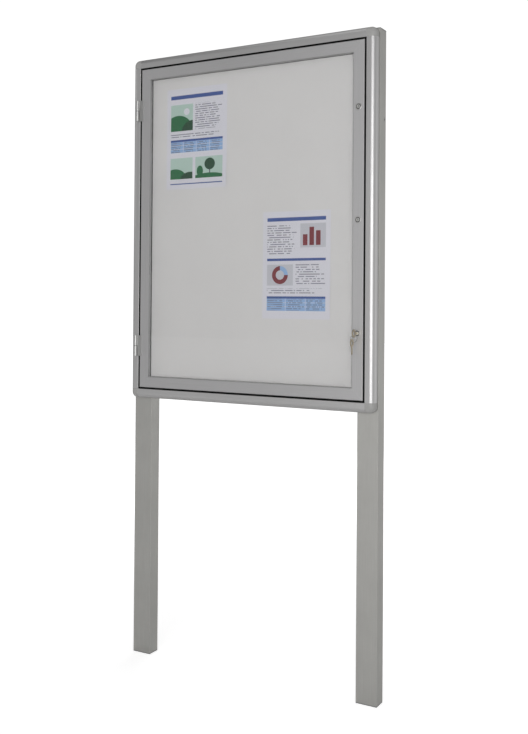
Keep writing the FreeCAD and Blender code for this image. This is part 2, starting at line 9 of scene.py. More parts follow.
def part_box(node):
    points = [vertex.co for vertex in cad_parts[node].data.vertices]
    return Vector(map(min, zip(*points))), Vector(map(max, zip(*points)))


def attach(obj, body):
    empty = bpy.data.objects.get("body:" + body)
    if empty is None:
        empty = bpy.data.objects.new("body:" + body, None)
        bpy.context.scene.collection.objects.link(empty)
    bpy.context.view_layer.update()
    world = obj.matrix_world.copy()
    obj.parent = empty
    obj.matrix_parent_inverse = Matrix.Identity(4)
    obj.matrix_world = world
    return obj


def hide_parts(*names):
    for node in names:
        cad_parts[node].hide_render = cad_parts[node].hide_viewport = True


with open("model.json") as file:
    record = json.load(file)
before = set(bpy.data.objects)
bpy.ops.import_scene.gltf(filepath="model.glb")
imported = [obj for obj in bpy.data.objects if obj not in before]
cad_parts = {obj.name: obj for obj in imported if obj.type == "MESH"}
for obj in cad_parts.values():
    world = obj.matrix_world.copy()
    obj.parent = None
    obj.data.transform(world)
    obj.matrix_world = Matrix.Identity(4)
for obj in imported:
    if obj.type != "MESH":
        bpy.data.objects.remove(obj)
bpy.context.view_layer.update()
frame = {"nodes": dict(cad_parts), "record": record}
nodes = frame["nodes"]

MM = 0.001
SCREW_HEIGHT = 1549 * MM
SCREW_FROM_REAR = 8 * MM
KNUCKLE_REACH = 5.5 * MM
LEVELS = ("lower", "middle", "upper")
SIDES = (("left", -1), ("right", 1))
ENDS = (("lower", -1), ("upper", 1))


# Camera, at the photograph's viewing angle

camera = bpy.data.objects.new("camera", bpy.data.cameras.new("camera"))
bpy.context.scene.collection.objects.link(camera)
camera.location = (1.7409, -2.3255, 1.0631)
camera.rotation_euler = [math.radians(a) for a in (90.66595, -0.41177, 29.53553)]
camera.data.sensor_fit = "AUTO"
camera.data.sensor_width = 36
camera.data.lens = 46.3528
camera.data.shift_x = -0.0071546
camera.data.shift_y = -0.1049687
bpy.context.scene.camera = camera
bpy.context.scene.view_settings.view_transform = "Standard"


# Shader trees

def add(tree, kind, settings=None, inputs=None):
    """A new node with its settings and inputs filled in; an input may be a socket."""
    node = tree.nodes.new(kind)
    for key, value in (settings or {}).items():
        setattr(node, key, value)
    for key, value in (inputs or {}).items():
        feed(tree, node.inputs[key], value)
    return node


def feed(tree, socket, value):
    """Sets an input to a plain value, or links it to a socket."""
    if isinstance(value, bpy.types.NodeSocket):
        tree.links.new(value, socket)
    else:
        socket.default_value = value


def maths(tree, operation, *values):
    """The result socket of a Math node."""
    node = add(tree, "ShaderNodeMath", {"operation": operation})
    for socket, value in zip(node.inputs, values):
        feed(tree, socket, value)
    return node.outputs["Value"]


def ramp(tree, value, low, high, to_low=0.0, to_high=1.0):
    """Maps a value between two limits to another range, and holds it there."""
    node = add(tree, "ShaderNodeMapRange", {"clamp": True}, {
        "Value": value, "From Min": low, "From Max": high, "To Min": to_low, "To Max": to_high})
    return node.outputs["Result"]


def blend_colour(tree, factor, first, second, blend_type="MIX"):
    """The colour socket of a Mix node."""
    node = add(tree, "ShaderNodeMix", {"data_type": "RGBA", "blend_type": blend_type})
    colours = [socket for socket in node.inputs if socket.type == "RGBA"]
    feed(tree, node.inputs["Factor"], factor)
    feed(tree, colours[0], first)
    feed(tree, colours[1], second)
    return [socket for socket in node.outputs if socket.type == "RGBA"][0]


def new_group(name, inputs, outputs):
    """An empty shader group with its sockets, its way in and its way out."""
    group = bpy.data.node_groups.new(name, "ShaderNodeTree")
    for label, kind, default in inputs:
        socket = group.interface.new_socket(label, in_out="INPUT", socket_type=kind)
        if default is not None:
            socket.default_value = default
    for label, kind in outputs:
        group.interface.new_socket(label, in_out="OUTPUT", socket_type=kind)
    return group, group.nodes.new("NodeGroupInput"), group.nodes.new("NodeGroupOutput")


def drawn_grain_group():
    """Fine die lines that run along a drawn or brushed piece."""
    group, way_in, way_out = new_group(
        "drawn_grain",
        [("Place", "NodeSocketVector", None), ("Across", "NodeSocketVector", (1, 1, 1)),
         ("Fineness", "NodeSocketFloat", 900.0)],
        [("Streak", "NodeSocketFloat")])
    squeezed = add(group, "ShaderNodeVectorMath", {"operation": "MULTIPLY"})
    feed(group, squeezed.inputs[0], way_in.outputs["Place"])
    feed(group, squeezed.inputs[1], way_in.outputs["Across"])
    lines = add(group, "ShaderNodeTexNoise", {"noise_dimensions": "3D"}, {
        "Vector": squeezed.outputs["Vector"], "Scale": way_in.outputs["Fineness"],
        "Detail": 3.0, "Roughness": 0.6})
    feed(group, way_out.inputs["Streak"], ramp(group, lines.outputs["Fac"], 0.3, 0.7))
    return group


def weathering_group():
    """Masks of cloudy dulling and of dust, which settles on faces that look up."""
    group, way_in, way_out = new_group(
        "weathering",
        [("Place", "NodeSocketVector", None), ("Size", "NodeSocketFloat", 6.0),
         ("Dust", "NodeSocketFloat", 0.5)],
        [("Cloud", "NodeSocketFloat"), ("Dust", "NodeSocketFloat")])
    cloud = add(group, "ShaderNodeTexNoise", {"noise_dimensions": "3D"}, {
        "Vector": way_in.outputs["Place"], "Scale": way_in.outputs["Size"],
        "Detail": 5.0, "Roughness": 0.62})
    clouded = ramp(group, cloud.outputs["Fac"], 0.35, 0.68)
    feed(group, way_out.inputs["Cloud"], clouded)
    surface = add(group, "ShaderNodeNewGeometry")
    facing = add(group, "ShaderNodeSeparateXYZ", None, {"Vector": surface.outputs["Normal"]})
    upward = ramp(group, facing.outputs["Z"], 0.25, 0.95)
    settled = maths(group, "MULTIPLY", upward, maths(group, "ADD", clouded, 0.4))
    feed(group, way_out.inputs["Dust"],
         maths(group, "MULTIPLY", settled, way_in.outputs["Dust"]))
    return group


def rounded_edge_group():
    """A normal that rounds sharp edges over, and a mask of where it does, which the materials
    use to paint a highlight along edges.
    """
    group, way_in, way_out = new_group(
        "rounded_edge", [("Radius", "NodeSocketFloat", 0.0006)],
        [("Normal", "NodeSocketVector"), ("Edge", "NodeSocketFloat")])
    rounded = add(group, "ShaderNodeBevel", {"samples": 6},
                  {"Radius": way_in.outputs["Radius"]})
    surface = add(group, "ShaderNodeNewGeometry")
    alike = add(group, "ShaderNodeVectorMath", {"operation": "DOT_PRODUCT"})
    feed(group, alike.inputs[0], rounded.outputs["Normal"])
    feed(group, alike.inputs[1], surface.outputs["Normal"])
    feed(group, way_out.inputs["Normal"], rounded.outputs["Normal"])
    feed(group, way_out.inputs["Edge"], ramp(group, alike.outputs["Value"], 0.99, 0.8))
    return group


def flush_screw_group():
    """Masks of a countersunk screw seen end on: its head, the seam round it and its recess,
    where the colour is painted dark as shade.
    """
    group, way_in, way_out = new_group(
        "flush_screw",
        [("Across", "NodeSocketFloat", 0.0), ("Up", "NodeSocketFloat", 0.0),
         ("Radius", "NodeSocketFloat", 0.004)],
        [("Head", "NodeSocketFloat"), ("Seam", "NodeSocketFloat"),
         ("Recess shade", "NodeSocketFloat")])
    spot = add(group, "ShaderNodeCombineXYZ", None,
               {"X": way_in.outputs["Across"], "Y": way_in.outputs["Up"]})
    distance = add(group, "ShaderNodeVectorMath", {"operation": "LENGTH"})
    feed(group, distance.inputs[0], spot.outputs["Vector"])
    share = maths(group, "DIVIDE", distance.outputs["Value"], way_in.outputs["Radius"])
    head = maths(group, "LESS_THAN", share, 1.0)
    feed(group, way_out.inputs["Head"], head)
    feed(group, way_out.inputs["Seam"],
         maths(group, "SUBTRACT", maths(group, "LESS_THAN", share, 1.15), head))
    feed(group, way_out.inputs["Recess shade"], maths(group, "LESS_THAN", share, 0.45))
    return group


def printed_block_group():
    """A mask that is 1 inside an upright rectangle of the X and Z plane."""
    group, way_in, way_out = new_group(
        "printed_block",
        [("X", "NodeSocketFloat", 0.0), ("Z", "NodeSocketFloat", 0.0),
         ("Left", "NodeSocketFloat", 0.0), ("Right", "NodeSocketFloat", 1.0),
         ("Low", "NodeSocketFloat", 0.0), ("High", "NodeSocketFloat", 1.0)],
        [("Inside", "NodeSocketFloat")])
    across, up = way_in.outputs["X"], way_in.outputs["Z"]
    level = maths(group, "MULTIPLY",
                  maths(group, "GREATER_THAN", across, way_in.outputs["Left"]),
                  maths(group, "LESS_THAN", across, way_in.outputs["Right"]))
    upright = maths(group, "MULTIPLY",
                    maths(group, "GREATER_THAN", up, way_in.outputs["Low"]),
                    maths(group, "LESS_THAN", up, way_in.outputs["High"]))
    feed(group, way_out.inputs["Inside"], maths(group, "MULTIPLY", level, upright))
    return group


def printed_disc_group():
    """A mask that is 1 inside a circle or ellipse of the X and Z plane."""
    group, way_in, way_out = new_group(
        "printed_disc",
        [("X", "NodeSocketFloat", 0.0), ("Z", "NodeSocketFloat", 0.0),
         ("Centre X", "NodeSocketFloat", 0.0), ("Centre Z", "NodeSocketFloat", 0.0),
         ("Wide", "NodeSocketFloat", 1.0), ("High", "NodeSocketFloat", 1.0)],
        [("Inside", "NodeSocketFloat")])
    total = None
    for place, centre, reach in (("X", "Centre X", "Wide"), ("Z", "Centre Z", "High")):
        offset = maths(group, "SUBTRACT", way_in.outputs[place], way_in.outputs[centre])
        share = maths(group, "DIVIDE", offset, way_in.outputs[reach])
        square = maths(group, "MULTIPLY", share, share)
        total = square if total is None else maths(group, "ADD", total, square)
    feed(group, way_out.inputs["Inside"], maths(group, "LESS_THAN", total, 1.0))
    return group


def printed_lines_group():
    """A mask of broken rules, ragged at the right, that stand for lines of small print."""
    group, way_in, way_out = new_group(
        "printed_lines",
        [("X", "NodeSocketFloat", 0.0), ("Z", "NodeSocketFloat", 0.0),
         ("Left", "NodeSocketFloat", 0.0), ("Right", "NodeSocketFloat", 1.0),
         ("Pitch", "NodeSocketFloat", 0.004), ("Mark", "NodeSocketFloat", 0.003)],
        [("Ink", "NodeSocketFloat")])
    left, right = way_in.outputs["Left"], way_in.outputs["Right"]
    row = maths(group, "DIVIDE", way_in.outputs["Z"], way_in.outputs["Pitch"])
    row_number = maths(group, "FLOOR", row)
    in_row = maths(group, "LESS_THAN", maths(group, "FRACT", row), 0.42)
    chance = add(group, "ShaderNodeTexWhiteNoise", {"noise_dimensions": "1D"},
                 {"W": row_number})
    share = ramp(group, chance.outputs["Value"], 0.0, 1.0, 0.7, 1.0)
    length = maths(group, "MULTIPLY", maths(group, "SUBTRACT", right, left), share)
    end = maths(group, "ADD", left, length)
    mark = maths(group, "FLOOR", maths(group, "DIVIDE", way_in.outputs["X"],
                                       way_in.outputs["Mark"]))
    cell = add(group, "ShaderNodeCombineXYZ", None, {"X": mark, "Y": row_number})
    gap = add(group, "ShaderNodeTexWhiteNoise", {"noise_dimensions": "2D"},
              {"Vector": cell.outputs["Vector"]})
    marked = maths(group, "GREATER_THAN", gap.outputs["Value"], 0.22)
    within = maths(group, "MULTIPLY",
                   maths(group, "GREATER_THAN", way_in.outputs["X"], left),
                   maths(group, "LESS_THAN", way_in.outputs["X"], end))
    feed(group, way_out.inputs["Ink"],
         maths(group, "MULTIPLY", maths(group, "MULTIPLY", in_row, marked), within))
    return group


DRAWN_GRAIN = drawn_grain_group()
WEATHERING = weathering_group()
ROUNDED_EDGE = rounded_edge_group()
FLUSH_SCREW = flush_screw_group()
PRINTED_BLOCK = printed_block_group()
PRINTED_DISC = printed_disc_group()
PRINTED_LINES = printed_lines_group()


def use(tree, group, inputs):
    """A group placed in a material's tree."""
    return add(tree, "ShaderNodeGroup", {"node_tree": group}, inputs)


def new_material(name, metallic, ior=1.5):
    """A material with its tree, shader and Object coordinates."""
    material = bpy.data.materials.new(name)
    material.use_nodes = True
    tree = material.node_tree
    shader = tree.nodes["Principled BSDF"]
    shader.inputs["Metallic"].default_value = metallic
    shader.inputs["IOR"].default_value = ior
    place = add(tree, "ShaderNodeTexCoord").outputs["Object"]
    return material, tree, shader, place


def object_axes(tree, place):
    """A place's X, Y and Z sockets."""
    return add(tree, "ShaderNodeSeparateXYZ", None, {"Vector": place}).outputs


DUST_ON_METAL = (0.42, 0.41, 0.39, 1)
DUST_ON_PLASTIC = (0.4, 0.39, 0.37, 1)


def metal(name, colour, roughness, metallic=1.0, across=(1, 1, 1), fineness=900.0,
          streaks=0.06, clouds=0.1, edge=0.0006, edge_light=0.2, dust=0.3):
    """A drawn, brushed or plated metal with die lines and dulling; its edges are rounded in
    shading and lightened by edge_light, a painted highlight.
    """
    material, tree, shader, place = new_material(name, metallic)
    grain = use(tree, DRAWN_GRAIN, {"Place": place, "Across": across, "Fineness": fineness})
    weather = use(tree, WEATHERING, {"Place": place, "Size": 5.0, "Dust": dust})
    edge_rounding = use(tree, ROUNDED_EDGE, {"Radius": edge})
    base = (*colour, 1)
    darker = (*[c * (1 - 2 * streaks) for c in colour], 1)
    dull = (*[c * (1 - clouds) for c in colour], 1)
    edge_highlight = (*[min(1, c * (1 + edge_light)) for c in colour], 1)
    tint = blend_colour(tree, grain.outputs["Streak"], darker, base)
    tint = blend_colour(tree, maths(tree, "MULTIPLY", weather.outputs["Cloud"], 0.8), tint, dull)
    # Painted highlight: the rounded edges are lightened in colour.
    tint = blend_colour(tree, edge_rounding.outputs["Edge"], tint, edge_highlight)
    tint = blend_colour(tree, weather.outputs["Dust"], tint, DUST_ON_METAL)
    feed(tree, shader.inputs["Base Color"], tint)
    rough = ramp(tree, grain.outputs["Streak"], 0, 1, roughness + streaks, roughness)
    rough = maths(tree, "ADD", rough, maths(tree, "MULTIPLY", weather.outputs["Cloud"], 0.06))
    rough = maths(tree, "ADD", rough, maths(tree, "MULTIPLY", weather.outputs["Dust"], 0.3))
    feed(tree, shader.inputs["Roughness"], rough)
    relief = add(tree, "ShaderNodeBump", None, {
        "Strength": 0.12, "Distance": 0.0001, "Height": grain.outputs["Streak"],
        "Normal": edge_rounding.outputs["Normal"]})
    feed(tree, shader.inputs["Normal"], relief.outputs["Normal"])
    return material


def moulded(name, colour, roughness, grain_size=1400.0, relief=0.2, edge=0.0005, clouds=0.12,
            dust=0.4, shine=0.5):
    """A moulded plastic, rubber or enamel skin with a fine texture and a painted highlight along
    its edges.
    """
    material, tree, shader, place = new_material(name, 0.0)
    shader.inputs["Specular IOR Level"].default_value = shine
    skin = add(tree, "ShaderNodeTexNoise", {"noise_dimensions": "3D"}, {
        "Vector": place, "Scale": grain_size, "Detail": 2.0, "Roughness": 0.5})
    weather = use(tree, WEATHERING, {"Place": place, "Size": 9.0, "Dust": dust})
    edge_rounding = use(tree, ROUNDED_EDGE, {"Radius": edge})
    base = (*colour, 1)
    dull = (*[c * (1 - clouds) for c in colour], 1)
    edge_highlight = (*[min(1, c * 1.25 + 0.01) for c in colour], 1)
    tint = blend_colour(tree, weather.outputs["Cloud"], base, dull)
    speck = ramp(tree, skin.outputs["Fac"], 0.35, 0.65, 0.0, 0.35)
    tint = blend_colour(tree, speck, tint, dull)
    # Painted highlight: the rounded edges are lightened in colour.
    tint = blend_colour(tree, maths(tree, "MULTIPLY", edge_rounding.outputs["Edge"], 0.5), tint, edge_highlight)
    tint = blend_colour(tree, weather.outputs["Dust"], tint, DUST_ON_PLASTIC)
    feed(tree, shader.inputs["Base Color"], tint)
    feed(tree, shader.inputs["Roughness"],
         ramp(tree, skin.outputs["Fac"], 0.3, 0.7, roughness - 0.05, roughness + 0.08))
    pitted = add(tree, "ShaderNodeBump", None, {
        "Strength": relief, "Distance": 0.00015, "Height": skin.outputs["Fac"],
        "Normal": edge_rounding.outputs["Normal"]})
    feed(tree, shader.inputs["Normal"], pitted.outputs["Normal"])
    return material


# The recess colour is painted shade inside the screw's drive.
SCREW_COLOURS = (("Head", (0.5, 0.5, 0.48, 1)), ("Seam", (0.03, 0.03, 0.03, 1)),
                 ("Recess shade", (0.06, 0.06, 0.06, 1)))
# Painted shade for the hinge's flat leaf.
LEAF_SHADE = (0.47, 0.47, 0.465, 1)


def colour_so_far(material):
    """A material's tree and shader, the socket of its colour and the axes of its place."""
    tree = material.node_tree
    shader = tree.nodes["Principled BSDF"]
    place = add(tree, "ShaderNodeTexCoord").outputs["Object"]
    tint = shader.inputs["Base Color"].links[0].from_socket
    return tree, shader, tint, object_axes(tree, place)


def add_side_screws(material):
    """Draws the countersunk screws in the posts' outer sides over a metal's colour, with painted
    shade in their recesses.
    """
    tree, shader, tint, axes = colour_so_far(material)
    low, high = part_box("left_post")[0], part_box("right_post")[1]
    off_middle = maths(tree, "ABSOLUTE",
                       maths(tree, "SUBTRACT", axes["X"], (low.x + high.x) / 2))
    outer_side = maths(tree, "GREATER_THAN", off_middle, (high.x - low.x) / 2 - 0.5 * MM)
    screw = use(tree, FLUSH_SCREW, {
        "Across": maths(tree, "SUBTRACT", axes["Y"], high.y - SCREW_FROM_REAR),
        "Up": maths(tree, "SUBTRACT", axes["Z"], SCREW_HEIGHT)})
    for label, colour in SCREW_COLOURS:
        shown = maths(tree, "MULTIPLY", screw.outputs[label], outer_side)
        tint = blend_colour(tree, shown, tint, colour)
    feed(tree, shader.inputs["Base Color"], tint)


def shade_hinge_leaf(material):
    """Darkens the flat leaf beside a hinge's knuckles with painted shade."""
    tree, shader, tint, axes = colour_so_far(material)
    pin_low, pin_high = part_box("upper_hinge_pin")
    flat = maths(tree, "GREATER_THAN", axes["X"], (pin_low.x + pin_high.x) / 2 + KNUCKLE_REACH)
    feed(tree, shader.inputs["Base Color"],
         blend_colour(tree, maths(tree, "MULTIPLY", flat, 0.9), tint, LEAF_SHADE))


def pane_glass():
    """Clear glass that lets the studio's light through to the notices."""
    material, tree, shader, _ = new_material("pane_glass", 0.0, ior=1.45)
    shader.inputs["Base Color"].default_value = (0.99, 0.995, 0.99, 1)
    shader.inputs["Roughness"].default_value = 0.0
    shader.inputs["Transmission Weight"].default_value = 1.0
    clear = add(tree, "ShaderNodeBsdfTransparent", None, {"Color": (0.95, 0.955, 0.95, 1)})
    path = add(tree, "ShaderNodeLightPath")
    passing = add(tree, "ShaderNodeMixShader", None, {"Fac": path.outputs["Is Shadow Ray"]})
    feed(tree, passing.inputs[1], shader.outputs["BSDF"])
    feed(tree, passing.inputs[2], clear.outputs["BSDF"])
    feed(tree, tree.nodes["Material Output"].inputs["Surface"], passing.outputs["Shader"])
    return material


PAPER = (0.65, 0.64, 0.7, 1)
PAPER_FIBRE = (0.58, 0.57, 0.63, 1)
HEADING_BLUE = (0.035, 0.075, 0.27, 1)
TABLE_BLUE = (0.26, 0.4, 0.64, 1)
LEAF_GREEN = (0.008, 0.12, 0.04, 1)
DEEP_GREEN = (0.005, 0.05, 0.02, 1)
PALE_GREEN = (0.42, 0.55, 0.5, 1)
DARK_RED = (0.17, 0.012, 0.02, 1)
PALE_GREY = (0.5, 0.5, 0.55, 1)
INK = (0.12, 0.12, 0.16, 1)
INK_COVER = 0.8
MARK_LENGTH = 0.62


def printed_sheet(name, node, blocks, discs, lines):
    """Coated paper with printed blocks, discs and lines, placed in millimetres from the
    sheet's lower left corner. A disc is clipped by the block that it is printed in."""
    material, tree, shader, place = new_material(name, 0.0)
    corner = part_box(node)[0]
    axes = object_axes(tree, place)
    across = maths(tree, "SUBTRACT", axes["X"], corner.x)
    up = maths(tree, "SUBTRACT", axes["Z"], corner.z)

    def block_mask(left, right, low, high):
        return use(tree, PRINTED_BLOCK, {
            "X": across, "Z": up, "Left": left * MM, "Right": right * MM,
            "Low": low * MM, "High": high * MM}).outputs["Inside"]

    fibres = add(tree, "ShaderNodeTexNoise", {"noise_dimensions": "3D"}, {
        "Vector": place, "Scale": 700.0, "Detail": 3.0})
    mottle = ramp(tree, fibres.outputs["Fac"], 0.3, 0.7, 0.0, 0.12)
    tint = blend_colour(tree, mottle, PAPER, PAPER_FIBRE)
    for left, right, low, high, colour in blocks:
        tint = blend_colour(tree, block_mask(left, right, low, high), tint, colour)
    for block, middle, height, wide, high, colour in discs:
        disc = use(tree, PRINTED_DISC, {
            "X": across, "Z": up, "Centre X": middle * MM, "Centre Z": height * MM,
            "Wide": wide * MM, "High": high * MM})
        shown = maths(tree, "MULTIPLY", block_mask(*block), disc.outputs["Inside"])
        tint = blend_colour(tree, shown, tint, colour)
    for left, right, low, high, pitch, colour in lines:
        ink = use(tree, PRINTED_LINES, {
            "X": across, "Z": up, "Left": left * MM, "Right": right * MM,
            "Pitch": pitch * MM, "Mark": pitch * MARK_LENGTH * MM})
        shown = maths(tree, "MULTIPLY", block_mask(left, right, low, high),
                      ink.outputs["Ink"])
        tint = blend_colour(tree, maths(tree, "MULTIPLY", shown, INK_COVER), tint, colour)
    feed(tree, shader.inputs["Base Color"], tint)
    feed(tree, shader.inputs["Roughness"],
         ramp(tree, fibres.outputs["Fac"], 0.3, 0.7, 0.42, 0.55))
    texture = add(tree, "ShaderNodeBump", None, {
        "Strength": 0.1, "Distance": 0.00005, "Height": fibres.outputs["Fac"]})
    feed(tree, shader.inputs["Normal"], texture.outputs["Normal"])
    return material


ALUMINIUM = (0.64, 0.635, 0.635)
DOOR_ALUMINIUM = (0.6, 0.595, 0.6)
UPRIGHT_GRAIN = (1, 1, 0.01)
LEVEL_GRAIN = (0.01, 1, 1)

frame_upright = metal("anodised_frame_upright", ALUMINIUM, 0.3, 0.85, UPRIGHT_GRAIN)
frame_level = metal("anodised_frame_level", ALUMINIUM, 0.3, 0.85, LEVEL_GRAIN)
door_upright = metal("anodised_door_upright", DOOR_ALUMINIUM, 0.38, 0.8, UPRIGHT_GRAIN)
door_level = metal("anodised_door_level", DOOR_ALUMINIUM, 0.38, 0.8, LEVEL_GRAIN)
post_upright = metal("anodised_post", (0.59, 0.585, 0.56), 0.42, 0.8, UPRIGHT_GRAIN, clouds=0.16)
add_side_screws(post_upright)
corner_skin = moulded("corner_moulding", (0.42, 0.418, 0.41), 0.42)
plug_skin = moulded("plug_moulding", (0.28, 0.28, 0.275), 0.55)
enamel = moulded("panel_enamel", (0.65, 0.635, 0.638), 0.4, grain_size=260.0, relief=0.04,
                 clouds=0.03, dust=0.1)
rubber = moulded("seal_rubber", (0.004, 0.004, 0.004), 0.8, grain_size=2200.0, dust=0.0,
                 shine=0.1)
gasket_rubber = moulded("gasket_rubber", (0.42, 0.42, 0.42), 0.6, grain_size=2200.0, dust=0.1,
                        shine=0.3)
# Near-black foam of the seal behind the door; its darkness also paints the shade in the gap
# between door and panel.
foam_seal_and_gap_shade = moulded("foam_seal_and_gap_shade", (0.07, 0.07, 0.07), 0.8, grain_size=1800.0, dust=0.1, shine=0.1)
glass = pane_glass()
hinge_metal = metal("hinge_metal", (0.63, 0.63, 0.62), 0.3, 0.9, UPRIGHT_GRAIN, edge=0.0004)
shade_hinge_leaf(hinge_metal)
pin_steel = metal("pin_steel", (0.5, 0.5, 0.5), 0.25, 1.0, UPRIGHT_GRAIN)
# edge_light paints a strong highlight on the edges of the black lock housing and of the nickel
# plug.
bezel_black = metal("bezel_black", (0.018, 0.018, 0.018), 0.36, 0.0, fineness=300.0, edge=0.0003,
                    edge_light=4.0, dust=0.0)
plug_nickel = metal("plug_nickel", (0.72, 0.72, 0.7), 0.3, 0.9, fineness=300.0, edge=0.0003,
                    edge_light=1.5, dust=0.0)
rim_nickel = metal("rim_nickel", (0.68, 0.67, 0.66), 0.25, 1.0, fineness=300.0, edge=0.0002)
cam_steel = metal("cam_steel", (0.5, 0.5, 0.48), 0.32, 1.0, UPRIGHT_GRAIN, edge=0.0003)
# edge_light paints a highlight on the key's edges.
key_metal = metal("key_nickel", (0.44, 0.385, 0.29), 0.3, 1.0, fineness=500.0, edge=0.0003,
                  edge_light=0.35)
ring_steel = metal("ring_steel", (0.55, 0.54, 0.52), 0.22, 1.0, fineness=600.0, edge=0.0001)

GARDEN = (14, 92, 172, 250)
MEADOW = (14, 92, 30, 92)
ORCHARD = (102, 196, 30, 92)
upper_print = printed_sheet(
    "upper_notice_print", "upper_notice_sheet",
    blocks=[
        (14, 196, 266, 277, HEADING_BLUE), GARDEN + (PALE_GREEN,),
        (14, 196, 140, 146, HEADING_BLUE), (14, 196, 108, 140, TABLE_BLUE),
        (14, 196, 129, 130, PAPER), (14, 196, 118, 119, PAPER),
        (58, 59, 108, 140, PAPER), (104, 105, 108, 140, PAPER), (150, 151, 108, 140, PAPER),
        MEADOW + (PALE_GREEN,), ORCHARD + (PALE_GREEN,), (150, 154, 36, 64, INK),
        (14, 196, 14, 17, HEADING_BLUE),
    ],
    discs=[
        (GARDEN, 70, 228, 10, 10, PAPER), (GARDEN, 40, 172, 52, 46, LEAF_GREEN),
        (GARDEN, 92, 168, 40, 34, DEEP_GREEN), (MEADOW, 30, 24, 44, 36, LEAF_GREEN),
        (MEADOW, 84, 26, 36, 24, DEEP_GREEN), (ORCHARD, 150, 22, 70, 22, LEAF_GREEN),
        (ORCHARD, 152, 70, 18, 17, DEEP_GREEN), (ORCHARD, 118, 50, 11, 16, LEAF_GREEN),
    ],
    lines=[
        (100, 196, 174, 250, 6.4, INK), (14, 196, 152, 166, 6.4, INK),
        (16, 56, 109, 139, 5.2, INK), (62, 102, 109, 139, 5.2, INK),
        (108, 148, 109, 139, 5.2, INK), (154, 194, 109, 139, 5.2, INK),
    ])

CHART = (118, 196, 196, 262)
PLAN = (14, 96, 92, 150)
lower_print = printed_sheet(
    "lower_notice_print", "lower_notice_sheet",
    blocks=[
        (14, 196, 270, 280, HEADING_BLUE), CHART + (PALE_GREY,),
        (126, 140, 202, 232, DARK_RED), (146, 160, 202, 252, DARK_RED),
        (166, 180, 202, 242, DARK_RED), (14, 196, 160, 167, HEADING_BLUE),
        PLAN + (PALE_GREY,), (14, 196, 56, 62, HEADING_BLUE), (14, 196, 22, 56, TABLE_BLUE),
        (14, 196, 44, 45, PAPER), (14, 196, 33, 34, PAPER),
        (72, 73, 22, 56, PAPER), (134, 135, 22, 56, PAPER),
    ],
    discs=[
        (PLAN, 55, 121, 25, 25, DARK_RED), (PLAN, 55, 121, 13, 13, PALE_GREY),
        ((55, 96, 121, 150), 55, 121, 25, 25, TABLE_BLUE),
        ((55, 96, 121, 150), 55, 121, 13, 13, PALE_GREY),
    ],
    lines=[
        (14, 110, 178, 260, 6.4, INK), (104, 196, 94, 150, 6.4, INK),
        (14, 196, 70, 84, 6.4, INK), (16, 70, 23, 55, 5.4, INK),
        (76, 132, 23, 55, 5.4, INK), (138, 194, 23, 55, 5.4, INK),
    ])

CAD_LOOKS = {
    "left_case_profile": frame_upright, "right_case_profile": frame_upright,
    "top_case_profile": frame_level, "bottom_case_profile": frame_level,
    "hinge_stile": door_upright, "lock_stile": door_upright,
    "top_rail": door_level, "bottom_rail": door_level,
    "left_post": post_upright, "right_post": post_upright,
    "back_panel": enamel, "door_seal": rubber, "glass_pane": glass,
}
SLOT_LOOKS = {
    "corner_moulding": corner_skin, "plug_moulding": plug_skin, "notice_paper": upper_print,
    "hinge_metal": hinge_metal, "pin_steel": pin_steel, "lock_nickel": plug_nickel,
    "cam_steel": cam_steel, "key_nickel": key_metal, "ring_steel": ring_steel,
    "gasket_rubber": gasket_rubber, "lock_housing_black": bezel_black,
}
for row in frame["record"]["subparts"]:
    look = CAD_LOOKS.get(row["node"]) or SLOT_LOOKS[row["material_slot"]]
    for slot in nodes[row["node"]].material_slots:
        slot.material = look


# Pieces

CREASE = math.radians(35)


def finish_piece(name, bm, look, body, replaced=()):
    """Turns a bmesh into a piece of the board, smooth up to the crease angle."""
    bmesh.ops.remove_doubles(bm, verts=bm.verts[:], dist=1e-7)
    bmesh.ops.recalc_face_normals(bm, faces=bm.faces[:])
    for face in bm.faces:
        face.smooth = True
    for edge in bm.edges:
        joined = len(edge.link_faces) == 2
        edge.smooth = joined and edge.calc_face_angle() < CREASE
    mesh = bpy.data.meshes.new(name)
    bm.to_mesh(mesh)
    bm.free()
    mesh.materials.append(look)
    piece = bpy.data.objects.new(name, mesh)
    bpy.context.scene.collection.objects.link(piece)
    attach(piece, body)
    if replaced:
        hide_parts(*replaced)


TURN_STEPS = 48


def turned_piece(name, section, centre, axis, look, body, replaced=()):
    """Spins a closed section round a centre; the section is given as radius and depth along
    the axis, in millimetres."""
    bm = bmesh.new()
    axis = Vector(axis)
    out = axis.orthogonal().normalized()
    verts = [bm.verts.new(Vector(centre) + out * (radius * MM) + axis * (depth * MM))
             for radius, depth in section]
    edges = [bm.edges.new((verts[i - 1], verts[i])) for i in range(len(verts))]
    bmesh.ops.spin(bm, geom=verts + edges, cent=centre, axis=axis, dvec=(0, 0, 0),
                   angle=2 * math.pi, steps=TURN_STEPS, use_merge=True, use_duplicate=False)
    finish_piece(name, bm, look, body, replaced)


def soften(bm, edges, offset, segments):
    """Bevels edges to a round profile."""
    bmesh.ops.bevel(bm, geom=edges, offset=offset, offset_type="OFFSET", segments=segments,
                    profile=0.5, affect="EDGES", material=-1, clamp_overlap=True)


CORNER_RADIUS = 17 * MM
FRONT_ROLL = 14 * MM
REAR_ROLL = 4.5 * MM
NEAR = 0.1 * MM


